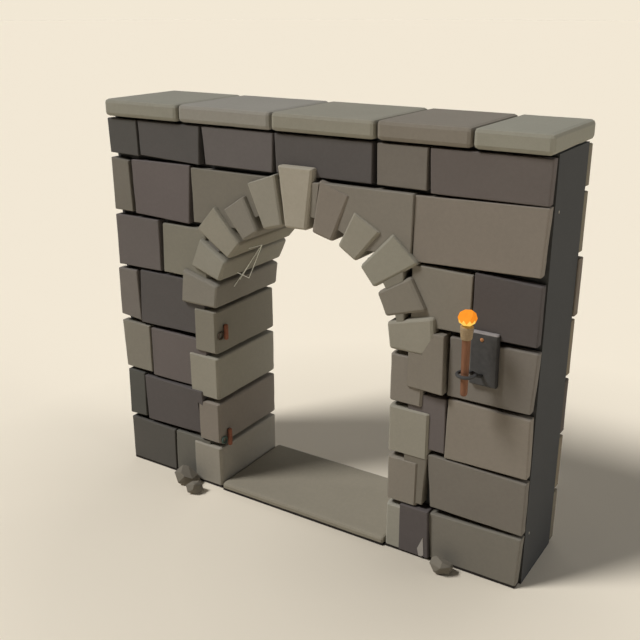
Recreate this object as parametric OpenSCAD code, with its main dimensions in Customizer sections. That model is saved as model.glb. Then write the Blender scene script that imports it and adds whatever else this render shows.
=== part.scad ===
// Stone wall with an arched doorway: a masonry core faced with squared stones
// on both sides, a ring of arch stones on stone jambs, a threshold, a coping,
// a torch in an iron bracket and two old gate pintles.
// Millimetres. X runs along the wall, the front faces -Y, and Z is up.
// The origin is on the ground, in the middle of the doorway and of the wall.

/* [Wall] */
// Length of the core from end to end
wall_w = 4000; // [3300:10:5000]
// Thickness of the core
wall_d = 660; // [500:10:900]
// Masonry from the top of the keystone to the underside of the coping
over_keystone = 235; // [120:5:500]

/* [Doorway] */
// Width between the jamb faces
door_w = 1740; // [1400:10:2100]
// Height from the ground to the springing of the arch
spring_h = 1780; // [1480:10:2140]

/* [Facing stones] */
// Thickness of the facing stones
facing_t = 90; // [60:5:140]
// How far the facing stones run past each end of the core
facing_end = 20; // [0:5:40]
// Height of the top course, joint included; the others share the rest
top_course_h = 350; // [250:10:480]
// Open bed joint between two courses
bed_joint = 40; // [20:2:60]
// Open upright joint between two stones of a course
upright_joint = 30; // [16:2:50]
// How far the edge of the facing stands back from the doorway, behind the dressed stones
facing_setback = 120; // [90:5:160]
// Gap where a facing stone is scribed to a dressed stone
scribe_gap = 6; // [4:1:12]

/* [Arch ring] */
// How far the arch stones stand inside the line of the jamb faces
arch_lip = 10; // [0:1:20]
// Length of a long arch stone, measured outwards
long_voussoir = 380; // [320:5:460]
// Length of a short arch stone, measured outwards
short_voussoir = 300; // [250:5:360]
// Length of the keystone, measured outwards
keystone_l = 475; // [390:5:570]
// Joint between arch stones, in degrees of the arch
arch_joint = 1.6; // [1:0.1:2.4]
// How far the arch stones stand out from the core on each side
arch_proud = 130; // [105:5:170]
// How far the keystone stands out from the core on each side
keystone_proud = 150; // [130:5:190]

/* [Jambs] */
// Width of a long jamb stone
jamb_long = 330; // [275:5:400]
// Width of a short jamb stone
jamb_short = 250; // [205:5:300]
// Joint between jamb stones
jamb_joint = 38; // [20:2:50]
// How far the jamb stones stand out from the core on each side
jamb_proud = 110; // [100:5:150]
// Chamfer along the edges of the dressed stones
dressed_chamfer = 16; // [6:1:24]

/* [Threshold] */
// Height of the threshold slab
threshold_h = 75; // [50:5:120]
// How far the threshold stands out from the core on each side
threshold_proud = 130; // [60:5:180]
// Gap between each end of the threshold and the jamb
threshold_gap = 14; // [6:1:30]
// Chamfer round the threshold's edges
threshold_chamfer = 22; // [6:1:30]

/* [Coping] */
// Height of the coping slabs
coping_h = 145; // [100:5:200]
// How far the coping stands out from the core, front and back
coping_proud = 125; // [100:5:180]
// Open joint between coping slabs
coping_joint = 14; // [6:1:30]
// Chamfer round the edges of a coping slab
coping_chamfer = 45; // [20:1:60]

/* [Torch] */
// How far the wall plate stands outwards from the middle of the facing beside the arch
plate_shift = 10; // [-60:5:60]
// From the top of course 4 down to the middle of the wall plate
plate_drop = 135; // [40:5:200]
// Width of the wall plate
plate_w = 210; // [160:5:240]
// Height of the wall plate
plate_h = 410; // [340:5:460]
// Thickness of the wall plate
plate_t = 40; // [20:2:50]
// How far the torch stands to the doorway's side of the plate's middle
torch_side = 66; // [40:2:90]
// From the face of the stones to the torch, at the ring
torch_out = 222; // [190:2:260]
// From the middle of the plate down to the torch's foot
foot_below_plate = 240; // [180:5:280]
// Forward lean of the torch, in degrees
torch_lean = 3.5; // [0:0.5:6]
// Height of the ring above the bottom of the shaft
ring_above_foot = 172; // [120:2:220]
// Mean radius of the ring
ring_r = 66; // [56:1:76]
// Radius of the ring's round bar
ring_bar_r = 11; // [8:1:13]
// Radius of the arm that carries the ring
arm_r = 13; // [9:1:16]
// How far the arm starts below the ring
arm_drop = 62; // [30:2:90]
// Length of the shaft below the wrap
shaft_l = 420; // [360:5:500]
// Radius of the shaft at its foot
shaft_foot_r = 24; // [20:1:27]
// Radius of the shaft at the wrap
shaft_top_r = 33; // [29:1:38]
// Radius of the wrap
wrap_r = 49; // [44:1:54]
// Height of the wrap
wrap_h = 118; // [90:2:140]
// Radius of the flame
flame_r = 70; // [60:1:80]
// How far the flame's middle stands above the wrap
flame_seat = 52; // [30:2:60]
// Radius of the rivet's head
rivet_r = 14; // [8:1:16]

/* [Gate pintles] */
// From the springing of the arch down to the middle of the upper pin
upper_pin_drop = 250; // [150:5:400]
// Height of the middle of the lower pin
lower_pin_z = 492; // [250:5:600]
// Length of the upper pin
upper_pin_l = 150; // [120:5:220]
// Length of the lower pin
lower_pin_l = 184; // [120:5:220]
// Radius of a pin
pintle_r = 19; // [14:1:22]
// Gap between the jamb face and a pin
pintle_off = 6; // [3:1:12]
// From the front of the jamb back to the pins
pintle_back = 118; // [100:2:200]
// Mean radius of the iron eye beside each pin
eye_r = 29; // [24:1:32]
// Radius of the eye's round bar
eye_bar_r = 8; // [6:1:9]

/* [Fallen stones] */
// Size of the larger stone by the left jamb
fallen_large = 240; // [150:5:300]
// Size of the smaller stone by the left jamb
fallen_small = 150; // [80:5:200]
// Size of the stone by the right pier
fallen_right = 190; // [100:5:260]

/* [Hidden] */
front = -1;
back = 1;
left = -1;
right = 1;
courses = 7;
side_stones = 5;
jamb_stones = 4;

half_door = door_w / 2;
half_wall = wall_w / 2;
arch_r = half_door - arch_lip;
open_r = half_door + facing_setback;
wall_h = spring_h + arch_r + keystone_l + over_keystone;
course_h = (wall_h - top_course_h) / (courses - 1);
// eleven stones share the half circle
pitch = 180 / (2 * side_stones + 1);
half_stone = (pitch - arch_joint) / 2;
jamb_pitch = spring_h / jamb_stones;
facing_y = wall_d / 2 + facing_t;
// width of the plain facing beside the long jamb stones
plain_w = half_wall - half_door - jamb_long;
tiny = 0.5;
plate_chamfer = 14;
// the rivet, from the plate's middle line and down from its top
rivet_side = 34;
rivet_drop = 62;
rivet_proud = 8;
// the arm's root, from the plate's middle line, and how far it is drawn past the plate's face
arm_side = 22;
arm_tail = 12;
// size of the patch where course 2 laps over the left jamb
left_lap_w = 140;
left_lap_h = 180;
// from the pins' middles to their tangs and to the eyes beside them
tang_drop = 10;
eye_drop = 28;
eye_gap = 2;

// Upright joints of courses 1 to 5 on the left and on the right, as shares of
// the plain facing's width, counted in from the wall's end
front_joints = [
    [0.72, 0.946],
    [0.28, 0.996],
    [0.44, 0.834],
    [0.297, 0.862],
    [0.678, 0.629],
];
back_joints = [
    [0.51, 0.78],
    [0.88, 0.37],
    [0.34, 0.59],
    [0.71, 0.83],
    [0.42, 0.48],
];
// the same for the two courses over the doorway, as shares of the whole wall
front_upper_joints = [
    [0.059, 0.229, 0.5, 0.751],
    [0.084, 0.257, 0.441, 0.666, 0.776],
];
back_upper_joints = [
    [0.14, 0.30, 0.5, 0.70, 0.90],
    [0.10, 0.33, 0.56, 0.74, 0.88],
];
// joints between the coping slabs, as shares of the wall's length
coping_joints = [0, 0.205, 0.439, 0.67, 0.857, 1];

voussoir_names = [for (s = ["left", "right"]) for (k = [1:side_stones]) str(s, "_voussoir_", k)];

core_grey = "#43423c";
brown_stone = "#766c60";
grey_stone = "#57504a";
dressed_stone = "#857e6d";
iron = "#3e3d3c";
rust = "#8a4a30";
wood = "#6f4f3c";
cloth = "#85725a";
fire = "#ff9a30";

// ---- plain shapes ----

// stands an elevation drawing up in the wall, as thick as depth
module through(depth) {
    rotate([90, 0, 0]) linear_extrude(depth, center = true) children();
}

module chamfered_rect(w, h, c) {
    polygon([
        [-w / 2 + c, -h / 2], [w / 2 - c, -h / 2],
        [w / 2, -h / 2 + c], [w / 2, h / 2 - c],
        [w / 2 - c, h / 2], [-w / 2 + c, h / 2],
        [-w / 2, h / 2 - c], [-w / 2, -h / 2 + c]
    ]);
}

// a block about the Z axis, standing on the ground, with every edge chamfered
module chamfered_block(w, d, h, c) {
    intersection() {
        linear_extrude(h) chamfered_rect(w, d, c);
        translate([0, 0, h / 2]) through(d) chamfered_rect(w, h, c);
        translate([0, 0, h / 2]) rotate([0, 0, 90]) through(w) chamfered_rect(d, h, c);
    }
}

// a point of the arch, at a radius and at an angle from the crown
function arch_point(r, a) = [r * sin(a), spring_h + r * cos(a)];

// elevation of a wedge between two radii
module wedge(a, half, r0, r1) {
    polygon([
        arch_point(r0, a - half), arch_point(r0, a + half),
        arch_point(r1, a + half), arch_point(r1, a - half)
    ]);
}

// ---- dressed stones in elevation ----

function voussoir_l(k) = k % 2 == 1 ? long_voussoir : short_voussoir;
function jamb_w(j) = j % 2 == 1 ? jamb_long : jamb_short;
function jamb_z0(j) = (j - 1) * jamb_pitch + (j == 1 ? 0 : jamb_joint / 2);
function jamb_z1(j) = j * jamb_pitch - jamb_joint / 2;

module voussoir_elevation(side, k, grow = 0) {
    offset_a = grow / arch_r * 180 / PI;
    wedge(side * k * pitch, half_stone + offset_a, arch_r - grow, arch_r + voussoir_l(k) + grow);
}

module keystone_elevation(grow = 0) {
    offset_a = grow / arch_r * 180 / PI;
    wedge(0, half_stone + offset_a, arch_r - grow, arch_r + keystone_l + grow);
}

module jamb_elevation(side, j, grow = 0) {
    h = jamb_z1(j) - jamb_z0(j);
    x = side * (half_door + jamb_w(j) / 2);
    translate([x, jamb_z0(j) + h / 2]) square([jamb_w(j) + 2 * grow, h + 2 * grow], center = true);
}

// the doorway as the facing and the core see it
module opening_elevation() {
    translate([0, spring_h]) circle(open_r, $fn = 96);
    translate([-open_r, -tiny]) square([2 * open_r, spring_h + tiny]);
}

module dressed_elevation(grow = 0) {
    for (side = [left, right]) {
        for (k = [1:side_stones]) voussoir_elevation(side, k, grow);
        for (j = [1:jamb_stones]) jamb_elevation(side, j, grow);
    }
    keystone_elevation(grow);
}

// ---- laps: where a facing stone on the front is let into a jamb stone ----

module front_laps(grow = 0) {
    g = grow;
    // course 4 over the right jamb's top stone
    translate([open_r - g, course_z0(4) - g]) square([jamb_long, jamb_z1(4) - course_z0(4) + 2 * g]);
    // course 1 over the right jamb's bottom stone
    translate([open_r - g, -tiny]) square([jamb_long, course_z1(1) + tiny + g]);
    // course 2 over the joint of the left jamb's second and third stones
    translate([-half_door - jamb_long - tiny, course_z1(2) - left_lap_h - g])
        square([left_lap_w + tiny + g, left_lap_h + 2 * g]);
}

// ---- facing ----

function course_z0(n) = (n - 1) * course_h + (n == 1 ? 0 : bed_joint / 2);
function course_z1(n) = n == courses ? wall_h - bed_joint / 2 : n * course_h - bed_joint / 2;

// ends of the stones of a course, from the left end of the wall to the right
function course_edges(n, pier_joints, upper_joints) =
    n <= len(pier_joints)
    ? [
        -half_wall - facing_end,
        -half_wall + pier_joints[n - 1][0] * plain_w,
        0,
        half_wall - pier_joints[n - 1][1] * plain_w,
        half_wall + facing_end
    ]
    : concat(
        [-half_wall - facing_end],
        [for (s = upper_joints[n - 1 - len(pier_joints)]) -half_wall + s * wall_w],
        [half_wall + facing_end]);

module stone_elevation(x0, x1, n) {
    translate([x0, course_z0(n)]) square([x1 - x0, course_z1(n) - course_z0(n)]);
}

module course_elevation(n, edges) {
    last = len(edges) - 1;
    for (i = [0:last - 1]) {
        gap0 = i == 0 ? 0 : upright_joint / 2;
        gap1 = i == last - 1 ? 0 : upright_joint / 2;
        stone_elevation(edges[i] + gap0, edges[i + 1] - gap1, n);
    }
}

module dressed_cut(lapped) {
    difference() {
        dressed_elevation(scribe_gap);
        if (lapped) front_laps(0);
    }
    // no sliver is left between the keystone and its neighbours
    wedge(0, pitch / 2 + arch_joint, arch_r, arch_r + long_voussoir + scribe_gap);
}

module facing(face, n) {
    edges = face == front
        ? course_edges(n, front_joints, front_upper_joints)
        : course_edges(n, back_joints, back_upper_joints);
    color(n % 2 == 0 ? brown_stone : grey_stone)
    translate([0, face * (facing_y - facing_t / 2), 0])
    through(facing_t)
    difference() {
        course_elevation(n, edges);
        opening_elevation();
        dressed_cut(face == front);
    }
}

// ---- core ----

module core(side, z0, z1) {
    color(core_grey)
    through(wall_d)
    difference() {
        translate([side == left ? -half_wall : 0, z0]) square([half_wall, z1 - z0]);
        opening_elevation();
        dressed_elevation();
    }
}

// ---- dressed stones ----

module jamb(side) {
    depth = wall_d + 2 * jamb_proud;
    color(dressed_stone)
    for (j = [1:jamb_stones]) {
        difference() {
            translate([side * (half_door + jamb_w(j) / 2), 0, jamb_z0(j)])
                chamfered_block(jamb_w(j), depth, jamb_z1(j) - jamb_z0(j), dressed_chamfer);
            translate([0, -wall_d / 2 - jamb_proud, 0]) through(2 * jamb_proud) front_laps(scribe_gap);
        }
    }
}

// a wedge through the wall, with its edges chamfered on both faces
module arch_stone(a, l, proud) {
    depth = wall_d + 2 * proud;
    c = dressed_chamfer;
    inset_a = c / (arch_r + l / 2) * 180 / PI;
    color(dressed_stone)
    hull() {
        through(depth - 2 * c) wedge(a, half_stone, arch_r, arch_r + l);
        through(depth) wedge(a, half_stone - inset_a, arch_r + c, arch_r + l - c);
    }
}

module voussoir(side, k) {
    arch_stone(side * k * pitch, voussoir_l(k), arch_proud);
}

module keystone() {
    arch_stone(0, keystone_l, keystone_proud);
}

module threshold() {
    color(dressed_stone)
    chamfered_block(
        door_w - 2 * threshold_gap, wall_d + 2 * threshold_proud, threshold_h, threshold_chamfer);
}

module coping(n) {
    x0 = -half_wall + coping_joints[n - 1] * wall_w + (n == 1 ? 0 : coping_joint / 2);
    x1 = -half_wall + coping_joints[n] * wall_w - (n == len(coping_joints) - 1 ? 0 : coping_joint / 2);
    color(dressed_stone)
    translate([(x0 + x1) / 2, 0, wall_h])
        chamfered_block(x1 - x0, wall_d + 2 * coping_proud, coping_h, coping_chamfer);
}

// ---- torch ----

plate_x = (arch_r + long_voussoir + half_wall) / 2 + plate_shift;
plate_z = 4 * course_h - plate_drop;
torch_x = plate_x - torch_side;
torch_y = -facing_y - torch_out;
foot_z = plate_z - foot_below_plate;
ring_z = foot_z + ring_above_foot;

// places its children at the torch's foot, along its leaning axis
module on_torch_axis() {
    translate([torch_x, torch_y + sin(torch_lean) * ring_above_foot, foot_z])
        rotate([torch_lean, 0, 0]) children();
}

module plate_solid() {
    translate([plate_x, -facing_y - plate_t / 2, plate_z - plate_h / 2])
        chamfered_block(plate_w, plate_t, plate_h, plate_chamfer);
}

module torch_plate() {
    color(iron) {
        plate_solid();
        translate([plate_x - rivet_side, -facing_y - plate_t, plate_z + plate_h / 2 - rivet_drop])
            rotate([90, 0, 0]) cylinder(h = rivet_proud, r1 = rivet_r, r2 = rivet_r * 0.6, $fn = 48);
    }
}

module torch_ring() {
    arm_x = plate_x - arm_side;
    arm_z = ring_z - arm_drop;
    color(iron) {
        translate([torch_x, torch_y, ring_z])
            rotate_extrude($fn = 96) translate([ring_r, 0]) circle(ring_bar_r, $fn = 32);
        // the arm is fitted to the plate's face and to the back of the shaft
        difference() {
            rod([arm_x, arm_tail - facing_y - plate_t, arm_z], [torch_x, torch_y, ring_z], arm_r);
            shaft_solid();
            plate_solid();
        }
    }
}

// a round bar from one point to another
module rod(a, b, r) {
    d = b - a;
    l = norm(d);
    translate(a) rotate([0, acos(d[2] / l), atan2(d[1], d[0])]) cylinder(h = l, r = r, $fn = 48);
}

module shaft_solid() {
    on_torch_axis() cylinder(h = shaft_l, r1 = shaft_foot_r, r2 = shaft_top_r, $fn = 64);
}

module torch_shaft() {
    color(wood) shaft_solid();
}

module torch_wrap() {
    color(cloth)
    on_torch_axis() translate([0, 0, shaft_l])
        cylinder(h = wrap_h, r1 = wrap_r * 0.9, r2 = wrap_r, $fn = 64);
}

module torch_flame() {
    color(fire)
    on_torch_axis() translate([0, 0, shaft_l + wrap_h])
        intersection() {
            translate([0, 0, flame_seat]) sphere(flame_r, $fn = 8);
            cylinder(h = 2 * flame_r, r = 2 * flame_r);
        }
}

// ---- gate pintles ----

// a rusted upright pin with an iron eye beside it, both fixed in the left jamb
module pintle(z, l) {
    x = -half_door + pintle_off + pintle_r;
    y = -wall_d / 2 - jamb_proud + pintle_back;
    color(rust) {
        translate([x, y, z - l / 2]) cylinder(h = l, r = pintle_r, $fn = 48);
        translate([-half_door, y, z - tang_drop]) rotate([0, 90, 0])
            cylinder(h = pintle_off + pintle_r, r = pintle_r / 2, $fn = 32);
    }
    color(iron)
    translate([-half_door + eye_bar_r, y - pintle_r - eye_gap - eye_r - eye_bar_r, z - eye_drop])
        rotate([0, 90, 0]) rotate_extrude($fn = 64) translate([eye_r, 0]) circle(eye_bar_r, $fn = 24);
}

// ---- fallen stones ----

// a broken lump, flat underneath
module lump(size, turn) {
    rotate([0, 0, turn])
    scale(size)
    hull() polyhedron(
        points = [
            [-0.34, -0.30, 0], [0.30, -0.36, 0], [0.42, 0.10, 0], [0.05, 0.40, 0], [-0.38, 0.22, 0],
            [-0.50, -0.08, 0.36], [0.02, -0.50, 0.34], [0.50, -0.14, 0.38], [0.24, 0.42, 0.34],
            [-0.28, 0.34, 0.46], [-0.14, -0.16, 0.78], [0.22, 0.04, 0.72]
        ],
        faces = [[0, 1, 2], [3, 4, 5], [6, 7, 8], [9, 10, 11]]
    );
}

module fallen_stones() {
    y = -facing_y;
    color(grey_stone) {
        translate([-half_door - 330, y - 150, 0]) lump(fallen_large, 12);
        translate([-half_door - 150, y - 262, 0]) lump(fallen_small, 80);
        translate([half_door + 540, y - 112, 0]) lump(fallen_right, 200);
    }
}

// ---- the assembly ----

core(left, 0, spring_h);  // left_pier_core
core(right, 0, spring_h);  // right_pier_core
core(left, spring_h, wall_h);  // left_spandrel_core
core(right, spring_h, wall_h);  // right_spandrel_core
for (n = [1:courses]) {
    facing(front, n);
    facing(back, n);
}
jamb(left);  // left_jamb
jamb(right);  // right_jamb
keystone();
for (k = [1:side_stones]) {
    voussoir(left, k);
    voussoir(right, k);
}
threshold();
for (n = [1:len(coping_joints) - 1]) {
    coping(n);
}
torch_plate();
torch_ring();
torch_shaft();
torch_wrap();
torch_flame();
pintle(spring_h - upper_pin_drop, upper_pin_l);  // upper_pintle
pintle(lower_pin_z, lower_pin_l);  // lower_pintle
fallen_stones();
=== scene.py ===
import random
from math import cos, pi, radians, sin

import bmesh
import bpy
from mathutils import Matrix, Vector, noise


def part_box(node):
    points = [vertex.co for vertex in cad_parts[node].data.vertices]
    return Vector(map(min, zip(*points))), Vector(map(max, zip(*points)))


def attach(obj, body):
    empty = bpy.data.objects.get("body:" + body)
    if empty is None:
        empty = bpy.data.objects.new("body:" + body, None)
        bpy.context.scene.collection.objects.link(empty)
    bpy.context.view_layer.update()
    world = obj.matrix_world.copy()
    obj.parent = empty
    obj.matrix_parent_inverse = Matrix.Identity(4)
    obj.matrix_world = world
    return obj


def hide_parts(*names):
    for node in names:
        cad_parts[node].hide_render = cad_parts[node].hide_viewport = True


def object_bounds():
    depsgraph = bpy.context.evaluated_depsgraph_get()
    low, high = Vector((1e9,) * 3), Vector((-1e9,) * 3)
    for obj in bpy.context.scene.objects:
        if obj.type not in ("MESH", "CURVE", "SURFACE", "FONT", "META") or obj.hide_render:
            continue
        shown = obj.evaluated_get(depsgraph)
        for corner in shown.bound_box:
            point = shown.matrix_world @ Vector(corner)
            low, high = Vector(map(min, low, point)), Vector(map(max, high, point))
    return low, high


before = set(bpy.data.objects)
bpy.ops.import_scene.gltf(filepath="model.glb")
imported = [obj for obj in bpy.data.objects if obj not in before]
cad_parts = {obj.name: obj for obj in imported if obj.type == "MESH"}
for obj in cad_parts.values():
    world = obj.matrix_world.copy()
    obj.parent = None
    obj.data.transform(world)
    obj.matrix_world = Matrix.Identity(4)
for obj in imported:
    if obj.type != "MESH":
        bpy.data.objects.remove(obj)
cad_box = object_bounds()


# ---- Camera, floor and lights ----
# The wall is seen from in front of its right pier and from above the coping. It stands on a
# pale floor, painted darker near the right pier as shade, under a high key light from the
# front left, and low soft lights from the right end and from behind.

camera = bpy.data.objects.new("camera", bpy.data.cameras.new("camera"))
camera.location = (3.804, -6.102, 4.307)
camera.rotation_euler = (radians(70.13), 0, radians(32.42))
camera.data.lens = 50
camera.data.sensor_width = 36
camera.data.clip_end = 500
bpy.context.scene.collection.objects.link(camera)
bpy.context.scene.camera = camera
bpy.context.scene.view_settings.view_transform = "Standard"


def linear(hex_colour):
    """The linear colour, with alpha, of a colour written as a painter mixes it, such as #857e6d."""
    parts = [int(hex_colour[i:i + 2], 16) / 255 for i in (1, 3, 5)]
    return tuple(c / 12.92 if c <= 0.04045 else ((c + 0.055) / 1.055) ** 2.4 for c in parts) + (1.0,)


def add(tree, kind, **values):
    """A node of a material, with its values set by name."""
    node = tree.nodes.new(kind)
    for name, value in values.items():
        if name in node.inputs:
            node.inputs[name].default_value = value
        else:
            setattr(node, name, value)
    return node


def blank_finish(name, roughness, specular):
    """A new material, with its tree and its shader, equally rough and glossy all over."""
    finish = bpy.data.materials.new(name)
    finish.use_nodes = True
    shader = finish.node_tree.nodes["Principled BSDF"]
    shader.inputs["Roughness"].default_value = roughness
    shader.inputs["Specular IOR Level"].default_value = specular
    return finish, finish.node_tree, shader


def placed(name, shape):
    """A new object in the scene, made from a shape that isn't needed any more."""
    mesh = bpy.data.meshes.new(name)
    shape.to_mesh(mesh)
    shape.free()
    thing = bpy.data.objects.new(name, mesh)
    bpy.context.scene.collection.objects.link(thing)
    return thing


floor_colour = linear("#e6dcca")
# the floor lies a hair below the foot of the wall
floor_radius, floor_level = 200, -0.001
floor_reach = 6.0
floor_shade_centre = (1.0, -0.4, 0.0)
# the floor is painted darker round a spot by the right pier, as shade, and paler far off:
# distance from that spot, and how light the floor is painted there
floor_painted_shade = [
    (0.3, 0.77), (0.8, 0.85), (1.3, 0.94), (1.9, 1.01), (2.8, 1.04), (3.6, 1.12), (4.8, 1.22),
]
pale_floor, floor_tree, floor_shader = blank_finish("pale_floor", 1.0, 0.0)
from_shade_centre = add(floor_tree, "ShaderNodeVectorMath", operation="SUBTRACT")
from_shade_centre.inputs[1].default_value = floor_shade_centre
floor_tree.links.new(add(floor_tree, "ShaderNodeTexCoord").outputs["Object"], from_shade_centre.inputs[0])
how_far = add(floor_tree, "ShaderNodeVectorMath", operation="LENGTH")
floor_tree.links.new(from_shade_centre.outputs["Vector"], how_far.inputs[0])
share = add(floor_tree, "ShaderNodeMath", operation="DIVIDE")
share.inputs[1].default_value = floor_reach
floor_tree.links.new(how_far.outputs["Value"], share.inputs[0])
# painted shade: this ramp darkens the floor near the right pier and makes it paler far off
painted_shade_ramp = add(floor_tree, "ShaderNodeValToRGB")
while len(painted_shade_ramp.color_ramp.elements) < len(floor_painted_shade):
    painted_shade_ramp.color_ramp.elements.new(0.5)
for stop, (distance, lightness) in zip(painted_shade_ramp.color_ramp.elements, floor_painted_shade):
    stop.position = distance / floor_reach
    stop.color = [min(c * lightness, 1.0) for c in floor_colour[:3]] + [1.0]
floor_tree.links.new(share.outputs["Value"], painted_shade_ramp.inputs["Fac"])
floor_tree.links.new(painted_shade_ramp.outputs["Color"], floor_shader.inputs["Base Color"])
disc = bmesh.new()
bmesh.ops.create_circle(disc, cap_ends=True, radius=floor_radius, segments=64)
bmesh.ops.translate(disc, verts=disc.verts, vec=(0, 0, floor_level))
floor = placed("floor", disc)
floor.data.materials.append(pale_floor)

# behind the floor a pale wall is seen, but only a faint white sky lights the stones
backdrop = bpy.data.worlds.new("backdrop")
backdrop.use_nodes = True
bpy.context.scene.world = backdrop
air = backdrop.node_tree
sky = air.nodes["Background"]
sky.inputs["Color"].default_value = (1.0, 1.0, 1.0, 1.0)
sky.inputs["Strength"].default_value = 0.02
far_wall = add(air, "ShaderNodeBackground", Color=linear("#f2e8d5"))
seen_directly = add(air, "ShaderNodeLightPath")
either = add(air, "ShaderNodeMixShader")
air.links.new(seen_directly.outputs["Is Camera Ray"], either.inputs["Fac"])
air.links.new(sky.outputs["Background"], either.inputs[1])
air.links.new(far_wall.outputs["Background"], either.inputs[2])
air.links.new(either.outputs["Shader"], air.nodes["World Output"].inputs["Surface"])


def soft_light(name, bearing, height, strength, spread):
    """A broad lamp far away, at a bearing from +x and a height above the floor. Both, and how
    far the lamp spreads, are in degrees."""
    lamp = bpy.data.objects.new(name, bpy.data.lights.new(name, "SUN"))
    side, up = radians(bearing), radians(height)
    travel = Vector((-cos(side) * cos(up), -sin(side) * cos(up), -sin(up)))
    lamp.rotation_euler = travel.to_track_quat("-Z", "Y").to_euler()
    lamp.data.energy = strength
    lamp.data.angle = radians(spread)
    bpy.context.scene.collection.objects.link(lamp)


soft_light("key_light", 225, 51, 2.8, 16)
soft_light("right_light", 15, 20, 0.95, 50)
soft_light("back_light", 95, 20, 0.85, 90)


# ---- The core ----
# Rubble set in dark mortar fills the wall between its two faces. It shows at the plain ends and,
# in shadow, through the open joints. The CAD solids have its shape and keep it.

def speckle(tree, place, scale, detail, low, high):
    """A cloudy pattern that varies between low and high. The noise itself seldom goes below 0.3
    or above 0.7."""
    cloud = add(tree, "ShaderNodeTexNoise", Scale=scale, Detail=detail, Roughness=0.6)
    spread = add(tree, "ShaderNodeMapRange")
    for end, value in (("From Min", 0.3), ("From Max", 0.7), ("To Min", low), ("To Max", high)):
        spread.inputs[end].default_value = value
    tree.links.new(place, cloud.inputs["Vector"])
    tree.links.new(cloud.outputs["Fac"], spread.inputs["Value"])
    return spread.outputs["Result"]


def times(tree, colour, factor):
    """A colour made lighter or darker by a factor that varies over the stone."""
    mixed = add(tree, "ShaderNodeVectorMath", operation="SCALE")
    tree.links.new(colour, mixed.inputs[0])
    tree.links.new(factor, mixed.inputs["Scale"])
    return mixed.outputs["Vector"]


def relief(tree, height, strength, depth):
    """A shallow relief with the height of a pattern."""
    bump = add(tree, "ShaderNodeBump", Strength=strength, Distance=depth)
    tree.links.new(height, bump.inputs["Height"])
    return bump


def stone_finish(name, colour=None, grain=0.0006, pits=0.0012):
    """Matt stone: its own tone, weather clouds, fine grain, pits, and arrises made paler, partly
    as wear and partly as a painted highlight. Grain and pits are how deep they are."""
    # the arrises are made paler, partly for wear and partly as a painted highlight
    mottle, worn_and_highlit = 0.03, 0.06
    # scale and detail of the weather clouds, the mottling and the speckles
    patterns = ((2.2, 4), (34, 5), (210, 2))
    wear_scale, grain_scale, pit_scale = 19, 120.0, 22.0
    finish, tree, shader = blank_finish(name, 0.95, 0.1)
    place = add(tree, "ShaderNodeTexCoord").outputs["Object"]
    if colour:
        own = add(tree, "ShaderNodeRGB").outputs["Color"]
        own.default_value = linear(colour)
    else:
        own = add(tree, "ShaderNodeAttribute", attribute_name="tone").outputs["Color"]
    shade = own
    for scale, detail in patterns:
        shade = times(tree, shade, speckle(tree, place, scale, detail, 1 - mottle, 1 + mottle))
    wear_and_highlight = add(tree, "ShaderNodeAttribute", attribute_name="wear_and_highlight").outputs["Fac"]
    patchy = add(tree, "ShaderNodeMath", operation="MULTIPLY")
    tree.links.new(wear_and_highlight, patchy.inputs[0])
    tree.links.new(speckle(tree, place, wear_scale, 4, 0.0, worn_and_highlit), patchy.inputs[1])
    lighter = add(tree, "ShaderNodeMath", operation="ADD")
    lighter.inputs[1].default_value = 1.0
    tree.links.new(patchy.outputs["Value"], lighter.inputs[0])
    shade = times(tree, shade, lighter.outputs["Value"])
    tree.links.new(shade, shader.inputs["Base Color"])
    grains = add(tree, "ShaderNodeTexNoise", Scale=grain_scale, Detail=6.0)
    tree.links.new(place, grains.inputs["Vector"])
    fine = relief(tree, grains.outputs["Fac"], 0.6, grain)
    hollows = add(tree, "ShaderNodeTexNoise", Scale=pit_scale, Detail=3.0)
    tree.links.new(place, hollows.inputs["Vector"])
    coarse = relief(tree, hollows.outputs["Fac"], 0.5, pits)
    tree.links.new(fine.outputs["Normal"], coarse.inputs["Normal"])
    tree.links.new(coarse.outputs["Normal"], shader.inputs["Normal"])
    return finish


mortar_tone = "#4a4a49"
core_finish = stone_finish("core_masonry", colour=mortar_tone, grain=0.001, pits=0.002)
for side in ("left", "right"):
    for part in ("pier", "spandrel"):
        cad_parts[f"{side}_{part}_core"].data.materials[0] = core_finish


# ---- The arch ring ----
# Eleven wedges through the whole wall, long and short in turn, with a taller keystone at the
# crown. Each is hewn by hand, so its corners are a little off, and its arrises are taken off
# in two flats.

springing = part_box("left_pier_core")[1].z
# without a seed of its own, the noise that waves the faces is another one at every run
noise.seed_set(7)


def steps(length, low, high, cell):
    """Where the lines of the dressing cross a side: one at each arris, and evenly between them."""
    inner = length - low - high
    count = max(1, round(inner / cell))
    return [0.0] + [low + inner * i / count for i in range(count + 1)] + [length]


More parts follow.
